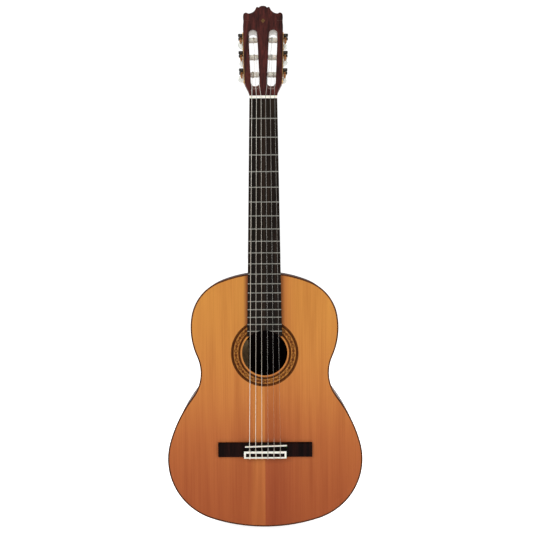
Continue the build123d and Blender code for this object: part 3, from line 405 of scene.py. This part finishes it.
def make_materials():
    """Every material of the guitar. Most are named after the slot or the wood that they are for."""
    cedar()
    grained_wood("rosewood", (0.016, 0.0035, 0.003), (0.060, 0.0125, 0.010), (0.105, 0.021, 0.016),
                 streak=85.0, Specular_IOR_Level=0.16, Coat_Weight=0.08, Coat_Roughness=0.1)
    # Unfinished rosewood inside the body, several times darker than the outside: painted shade inside the body
    grained_wood("bare_rosewood_painted_shade", (0.004, 0.001, 0.001), (0.010, 0.003, 0.002), (0.022, 0.006, 0.004),
                 streak=85.0, Specular_IOR_Level=0.02)
    grained_wood("ebony", (0.003, 0.002, 0.0012), (0.011, 0.0065, 0.004), (0.034, 0.020, 0.012),
                 streak=95.0, pores=0.2, Specular_IOR_Level=0.12)
    grained_wood("bridge_wood", (0.003, 0.0012, 0.001), (0.007, 0.002, 0.0018), (0.016, 0.004, 0.003),
                 streak=60.0, turn=ACROSS, Specular_IOR_Level=0.05)
    grained_wood("mahogany", (0.07, 0.020, 0.010), (0.14, 0.044, 0.021), (0.20, 0.068, 0.032),
                 streak=45.0, pores=0.5, Specular_IOR_Level=0.2)
    plain_wood("inner_wood", (0.07, 0.032, 0.014), (0.14, 0.07, 0.032), streak=60.0,
               Specular_IOR_Level=0.05)
    plain_wood("binding", (0.060, 0.017, 0.005), (0.12, 0.038, 0.012), **THIN_EDGE)
    plain_wood("purfling", (0.045, 0.012, 0.004), (0.09, 0.030, 0.010), **THIN_EDGE)
    plain_wood("mosaic_dark", (0.045, 0.010, 0.001), (0.095, 0.026, 0.003), **VENEER)
    plain_wood("mosaic_gold", (0.33, 0.124, 0.024), (0.49, 0.205, 0.043), **VENEER)
    plain_wood("mosaic_red", (0.11, 0.028, 0.007), (0.18, 0.050, 0.011), **VENEER)
    plain_wood("mosaic_brown", (0.18, 0.062, 0.013), (0.27, 0.10, 0.021), **VENEER)
    slot_wall()
    ramp_rim()
    speckled("inlay", (0.09, 0.042, 0.010), (0.16, 0.08, 0.02), 900.0, Metallic=0.3)
    speckled("bone", (0.78, 0.76, 0.66), (0.92, 0.90, 0.82), 300.0, (0.2, 0.34), **BONE_DEPTH)
    speckled("roller", (0.60, 0.55, 0.45), (0.78, 0.74, 0.64), 260.0, (0.24, 0.36), **BONE_DEPTH)
    speckled("fret_metal", (0.24, 0.235, 0.205), (0.36, 0.355, 0.315), 500.0, (0.3, 0.45), Metallic=0.7)
    speckled("plate_metal", (0.52, 0.29, 0.10), (0.74, 0.46, 0.19), 260.0, (0.24, 0.4), Metallic=1.0)
    speckled("dark_metal", (0.010, 0.008, 0.007), (0.045, 0.034, 0.024), 320.0, (0.3, 0.5), 0.12,
             Metallic=0.5, Specular_IOR_Level=0.3)
    speckled("gear_metal", (0.36, 0.16, 0.06), (0.58, 0.30, 0.13), 420.0, (0.28, 0.5), 0.12, Metallic=1.0)
    speckled("shaft_metal", (0.05, 0.042, 0.034), (0.13, 0.11, 0.09), 500.0, (0.3, 0.5), 0.12,
             Metallic=0.8)
    speckled("screw_metal", (0.50, 0.34, 0.14), (0.72, 0.52, 0.26), 600.0, Metallic=1.0)
    speckled("paper", (0.50, 0.32, 0.16), (0.74, 0.52, 0.28), 40.0, (0.75, 0.9), Specular_IOR_Level=0.05)
    pearl()
    clear_nylon()
    wound_metal("wound_string", WIRE_PAINTED_LIGHT, Metallic=0.4, Specular_IOR_Level=0.5)
    wound_metal("worn_winding", WORN_COLOURS, Metallic=0.5)


# ---- finishes on the CAD nodes ----

# Material slots and nodes whose finish has another name
SLOT_FINISH = {"button": "pearl"}
NODE_FINISH = {"bridge": "bridge_wood", "rosette": "mosaic_dark"}
# A tuner plate's ears and brackets start this far out from the head's side
EAR_START = 1.5 * MM
# The slots' ends lie further out from the head's middle than the one, and end short of the top roller's
# outer end by the other
SLOT_INNER = 8 * MM
SLOT_INSET = 9 * MM
# The floors of the notches in the head's plate lie between these depths
NOTCH_DEPTHS = (0.3 * MM, 0.7 * MM)


def inside_of_back(centre, normal):
    """The back's inner face, which faces the strings."""
    return normal.y < -0.5


def plate_ear(centre, normal):
    """Out from the head's side, on either side of the head."""
    joint = JOINTS["roller_turn_e1"]
    from_side = Vector((abs(centre.x), centre.y, centre.z)) - Vector(joint["pos_m"])
    return from_side.dot(Vector(joint["axis"]).normalized()) > EAR_START


def slot_end(centre, normal):
    """The slots' upper ends, above the top rollers, facing down the neck."""
    between = SLOT_INNER < abs(centre.x) < TOP_ROLLER_HIGH.x - SLOT_INSET
    return between and centre.z > TOP_ROLLER_HIGH.z and normal.z < -0.4


def ramp_or_notch(centre, normal):
    """The string ramps' faces, which lie lower than the top rollers, and the floors of the notches."""
    slanted = normal.y < -0.1 and normal.z > 0 and (normal + HEAD_REAR).length > 0.08
    level = normal.dot(HEAD_REAR) < -0.9
    low, high = NOTCH_DEPTHS
    return (slanted and centre.z < TOP_ROLLER_LOW.z) or (
        level and low < centre.dot(HEAD_REAR) - HEAD_FRONT < high)


# Faces with a finish of their own, as (nodes, finish, test of a face's centre and normal)
SECOND_FINISHES = (
    # The back's inner faces get the darker rosewood, painted shade inside the body
    (("back_bass", "back_treble", "back_centre_strip"), "bare_rosewood_painted_shade", inside_of_back),
    (("tuner_plate_bass", "tuner_plate_treble"), "dark_metal", plate_ear),
    (("headstock",), "slot_wall", slot_end),
    (("headplate",), "ramp_rim", ramp_or_notch),
)


def dress_frame():
    """Give every CAD node its slot's finish, or its own where the wood differs from the slot's."""
    for part in RECORD["subparts"]:
        node, slot = part["node"], part["material_slot"]
        mesh = NODES[node].data
        mesh.materials.clear()
        mesh.materials.append(MATERIALS[NODE_FINISH.get(node, SLOT_FINISH.get(slot, slot))])
    for nodes, material, test in SECOND_FINISHES:
        for node in nodes:
            mesh = NODES[node].data
            mesh.materials.append(MATERIALS[material])
            for polygon in mesh.polygons:
                if test(polygon.center, polygon.normal):
                    polygon.material_index = len(mesh.materials) - 1


# ---- rosette ----

# The CAD ring's edge and face are the mosaic's, whose inner edge leaves a rim of cedar round the hole
ROSETTE_LOW, ROSETTE_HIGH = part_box("rosette")
HOLE_CENTRE = (ROSETTE_LOW + ROSETTE_HIGH) / 2
ROSETTE_OUTER = (ROSETTE_HIGH.x - ROSETTE_LOW.x) / 2
ROSETTE_INNER = 46.2 * MM
# One repeat of the mosaic, as a cabinet maker's chart: rows run from the hole outwards, columns round it
MOSAIC_CHART = (
    "gggggggggggggg",
    "ggdddggggggrgg",
    "gdbgbdgggrrrgg",
    "dbgrgbdbrrdrrb",
    "dbrgrbdbrdbdrb",
    "dbgrgbdbrrdrrb",
    "gdbgbdgggrrrgg",
    "ggdddggggggrgg",
    "gggggggggggggg",
)
MOSAIC_REPEATS = 20
CHART_WOODS = {"d": "mosaic_dark", "g": "mosaic_gold", "r": "mosaic_red", "b": "mosaic_brown"}
ROSETTE_WOODS = (*CHART_WOODS.values(), "cedar")
# Rings of the rosette from the inside, as (width in millimetres, wood or "chart")
ROSETTE_RINGS = (
    (0.7, "mosaic_dark"), (0.4, "mosaic_brown"), (2.85, "mosaic_dark"), (0.4, "mosaic_brown"),
    (8.5, "chart"),
    (0.4, "mosaic_brown"), (3.3, "mosaic_dark"), (0.4, "mosaic_brown"), (1.2, "mosaic_dark"),
    (0.45, "cedar"),
)


def rosette_mosaic():
    """The rosette as inlaid veneers: plain rings, and a band of small tiles laid to a chart."""
    columns = MOSAIC_REPEATS * len(MOSAIC_CHART[0])
    rings = []
    for width, wood in ROSETTE_RINGS:
        if wood == "chart":
            rings += [(width / len(MOSAIC_CHART), row) for row in MOSAIC_CHART]
        else:
            rings.append((width, wood))
    scale = (ROSETTE_OUTER - ROSETTE_INNER) / sum(width for width, pattern in rings)
    mesh = bmesh.new()

    def circle(radius):
        angles = [2 * math.pi * i / columns for i in range(columns)]
        return [mesh.verts.new((HOLE_CENTRE.x + radius * math.sin(a), ROSETTE_LOW.y,
                                HOLE_CENTRE.z + radius * math.cos(a))) for a in angles]

    radius = ROSETTE_INNER
    inner = circle(radius)
    for width, pattern in rings:
        radius += width * scale
        outer = circle(radius)
        for i in range(columns):
            j = (i + 1) % columns
            face = mesh.faces.new((inner[i], inner[j], outer[j], outer[i]))
            wood = pattern if pattern in ROSETTE_WOODS else CHART_WOODS[pattern[i % len(pattern)]]
            face.material_index = ROSETTE_WOODS.index(wood)
        inner = outer
    back = bmesh.ops.extrude_face_region(mesh, geom=mesh.faces[:])
    moved = [item for item in back["geom"] if isinstance(item, bmesh.types.BMVert)]
    bmesh.ops.translate(mesh, verts=moved, vec=(0, ROSETTE_HIGH.y - ROSETTE_LOW.y, 0))
    bmesh.ops.recalc_face_normals(mesh, faces=mesh.faces[:])
    piece = new_piece("rosette_mosaic", mesh)
    for wood in ROSETTE_WOODS:
        piece.data.materials.append(MATERIALS[wood])
    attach(piece, "root")
    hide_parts("rosette")


def new_piece(name, mesh):
    data = bpy.data.meshes.new(name)
    mesh.to_mesh(data)
    mesh.free()
    return link(name, data)


def link(name, data):
    """A new object in the scene."""
    obj = bpy.data.objects.new(name, data)
    bpy.context.scene.collection.objects.link(obj)
    return obj


# ---- string turns and knots ----

ROLLER_RADIUS = 5.0 * MM
# Whole turns of a string on its roller, before the part of a turn that ends at the roller's hole
WHOLE_TURNS = 2
STEPS_PER_TURN = 16
# How far along the roller the turns run, and how far the cut end stands out of the hole
HOLE_SHIFT = 2.5 * MM
TAIL_OUT = 3.4 * MM
# How far the vertices of a string's end at the roller reach down, and those behind the tie block reach up
END_RING = 1.5 * MM
TIE_RUN = 6 * MM
# Places in depth of the knot at the tie block: beneath the string's own run, and on the way there and back
KNOT_UNDER = -4.3 * MM
KNOT_DOWN = -6.6 * MM
KNOT_UP = -6.8 * MM


def string_vertices(string):
    return [vertex.co.copy() for vertex in NODES["string_" + string].data.vertices]


def string_end(string):
    """The string's radius, and the middle of its end at the roller."""
    points = string_vertices(string)
    top = max(point.z for point in points)
    ring = [point for point in points if point.z > top - END_RING]
    middle = sum(ring, Vector()) / len(ring)
    return max((point - middle).length for point in ring), middle


def tie_x(string):
    """Where a string crosses the tie block: the middle of its vertices behind it."""
    points = string_vertices(string)
    lowest = min(point.z for point in points)
    loop = [point.x for point in points if point.z < lowest + TIE_RUN]
    return (min(loop) + max(loop)) / 2


def tube(name, points, radius, material, body):
    """A string's run through points, as a round tube on one smooth curve."""
    curve = bpy.data.curves.new(name, "CURVE")
    curve.dimensions = "3D"
    curve.bevel_depth = radius
    curve.bevel_resolution = 3
    curve.resolution_u = 6
    curve.use_fill_caps = True
    spline = curve.splines.new("NURBS")
    spline.points.add(len(points) - 1)
    for control, point in zip(spline.points, points):
        control.co = (*point, 1.0)
    spline.order_u = 3
    spline.use_endpoint_u = True
    curve.materials.append(MATERIALS[material])
    piece = link(name, curve)
    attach(piece, body)


def roller_turns(string):
    """Turns of a string on its roller, from where it lands to the roller's hole, and its cut end."""
    radius, landing = string_end(string)
    joint = JOINTS["roller_turn_" + string]
    pivot, axis = Vector(joint["pos_m"]), Vector(joint["axis"]).normalized()
    rear = Vector(JOINTS["button_turn_" + string]["axis"]).normalized()
    centre = pivot + axis * (landing - pivot).dot(axis)
    out = (landing - centre).normalized()
    start_reach = (landing - centre).length
    # The string comes up from the nut over the roller's front, and turns towards its rear
    sense = 1 if axis.cross(out).z > 0 else -1
    along = axis.cross(out) * sense
    to_rear = math.atan2(rear.dot(along), rear.dot(out)) % (2 * math.pi)
    total = to_rear + WHOLE_TURNS * 2 * math.pi
    steps = round(total / (2 * math.pi) * STEPS_PER_TURN)
    points = []
    for step in range(steps + 1):
        part = step / steps
        angle = total * part
        reach = ROLLER_RADIUS + radius
        # It settles on the roller within half a turn
        reach += (start_reach - reach) * max(0.0, 1 - angle / math.pi)
        ray = out * math.cos(angle) + along * math.sin(angle)
        points.append(centre - axis * (HOLE_SHIFT * part) + ray * reach)
    # Down into the roller's hole, out at its far side, and a little aside
    hole = centre - axis * HOLE_SHIFT
    points += [
        hole + rear * (ROLLER_RADIUS - 0.6 * MM),
        hole,
        hole - rear * ROLLER_RADIUS,
        hole - rear * (ROLLER_RADIUS + TAIL_OUT * 0.6) - axis * 0.3 * MM,
        hole - rear * (ROLLER_RADIUS + TAIL_OUT) - axis * 1.1 * MM - along * 0.6 * MM,
    ]
    material, slot = ("worn_winding", "wound_string") if string in WOUND else ("nylon", "nylon")
    tube("turns_" + string, points, radius, material, "roller_" + string)


def bridge_knot(string):
    """The string's end at the bridge: round its own run before the tie block, and back over the block."""
    radius, landing = string_end(string)
    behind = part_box("string_" + string)[0].z + radius
    block_low, block_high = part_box("tie_block_trim")
    front = block_high.z
    over = block_low.y - radius - 0.05 * MM
    x = tie_x(string)
    # The end lies beside the string, on the side of the middle
    side = -1 if x > 0 else 1
    step = side * (2 * radius + 0.15 * MM)
    # Off the block's front edge, beneath the string's own run, back over the block, and down behind it
    points = [
        (x, over, front - 1.7 * MM),
        (x, over, front - 0.4 * MM),
        (x - step * 0.25, over + 0.5 * MM, front + 0.7 * MM),
        (x - step * 0.8, KNOT_DOWN, front + 1.7 * MM),
        (x - step * 0.9, KNOT_UNDER, front + 2.0 * MM),
        (x, KNOT_UNDER + radius, front + 2.3 * MM),
        (x + step * 0.9, KNOT_UNDER, front + 2.0 * MM),
        (x + step, KNOT_UP, front + 1.6 * MM),
        (x + step, over + 0.3 * MM, front + 0.6 * MM),
        (x + step, over - 0.1 * MM, front - 1.5 * MM),
        (x + step * 1.05, over, front - 6.0 * MM),
        (x + step, over, front - 11.0 * MM),
        (x + step * 0.9, over + 0.4 * MM, behind + 0.7 * MM),
        (x + step * 0.9, over + 1.8 * MM, behind - 0.1 * MM),
    ]
    finish = "wound_string" if string in WOUND else "nylon"
    tube("knot_" + string, points, radius * 0.98, finish, "root")


# ---- stage ----

FLOOR_RADIUS = 40.0
FLOOR_GAP = 12 * MM
# Strengths of a light source as (what falls on the object, what the camera sees of it)
WORLD_STRENGTHS = (0.34, 1.05)
FLOOR_STRENGTHS = (0.30, 0.92)
# Square soft lights, as (name, place, width, power)
LIGHTS = (
    ("key", (-1.5, -1.9, 1.1), 1.3, 36),
    ("fill", (1.9, -1.7, 0.3), 1.4, 16),
    ("back_left", (-1.6, 1.9, 0.9), 1.2, 26),
    ("back_right", (1.7, 1.8, 0.6), 1.2, 22),
    ("top", (0, 0.2, 1.8), 1.6, 13),
)


def soft_light(name, place, target, width, power):
    data = bpy.data.lights.new(name, "AREA")
    data.shape = "RECTANGLE"
    data.size, data.size_y = width, width
    data.energy = power
    light = link(name, data)
    light.location = place
    light.rotation_euler = (Vector(target) - light.location).to_track_quat("-Z", "Y").to_euler()
    light.visible_camera = False


def seen_strength(tree, strengths):
    """A light strength for what falls on the object, and another for what the camera sees directly."""
    seen = add(tree, "ShaderNodeLightPath").outputs["Is Camera Ray"]
    inputs = {"Value": seen, "To Min": strengths[0], "To Max": strengths[1]}
    return add(tree, "ShaderNodeMapRange", inputs).outputs[0]


def studio():
    """Pale floor and white surroundings, a soft key light, fill and back lights."""
    world = bpy.data.worlds.new("studio")
    bpy.context.scene.world = world
    world.use_nodes = True
    tree = world.node_tree
    background = tree.nodes["Background"]
    background.inputs["Color"].default_value = (*WHITE, 1.0)
    tree.links.new(seen_strength(tree, WORLD_STRENGTHS), background.inputs["Strength"])

    low, high = CAD_BOX
    floor = bmesh.new()
    bmesh.ops.create_circle(floor, cap_ends=True, segments=96, radius=FLOOR_RADIUS)
    bmesh.ops.translate(floor, verts=floor.verts[:], vec=(0, 0, low.z - FLOOR_GAP))
    piece = new_piece("floor", floor)
    material, principled = shader("floor", Roughness=0.9, Specular_IOR_Level=0.1,
                                  Emission_Color=(*WHITE, 1.0))
    tree = material.node_tree
    tree.links.new(seen_strength(tree, FLOOR_STRENGTHS), principled.inputs["Emission Strength"])
    colour = cloudy(tree, noise(tree, position(tree), 3.0), (0.84, 0.84, 0.84), (0.88, 0.88, 0.88))
    finish_shader(material, principled, colour)
    piece.data.materials.append(material)

    middle = (0, 0, (low.z + high.z) / 2)
    for name, place, width, power in LIGHTS:
        soft_light(name, place, middle, width, power)


def camera():
    """The camera that the object is shown by, from its place, pitch and roll."""
    data = bpy.data.cameras.new("camera")
    data.lens = CAMERA_LENS
    data.sensor_width = SENSOR_WIDTH
    data.shift_y = CAMERA_SHIFT
    obj = link("camera", data)
    ahead = Vector((0, math.cos(CAMERA_PITCH), math.sin(CAMERA_PITCH)))
    side = Vector((1, 0, 0))
    up = side.cross(ahead)
    turned = side * math.cos(CAMERA_ROLL) + up * math.sin(CAMERA_ROLL)
    upright = turned.cross(ahead)
    rotation = Matrix((turned, upright, -ahead)).transposed().to_4x4()
    obj.matrix_world = Matrix.Translation(CAMERA_PLACE) @ rotation
    bpy.context.scene.camera = obj


make_materials()
dress_frame()
rosette_mosaic()
for string in STRINGS:
    roller_turns(string)
    bridge_knot(string)
studio()
camera()
bpy.context.scene.view_settings.view_transform = "Standard"
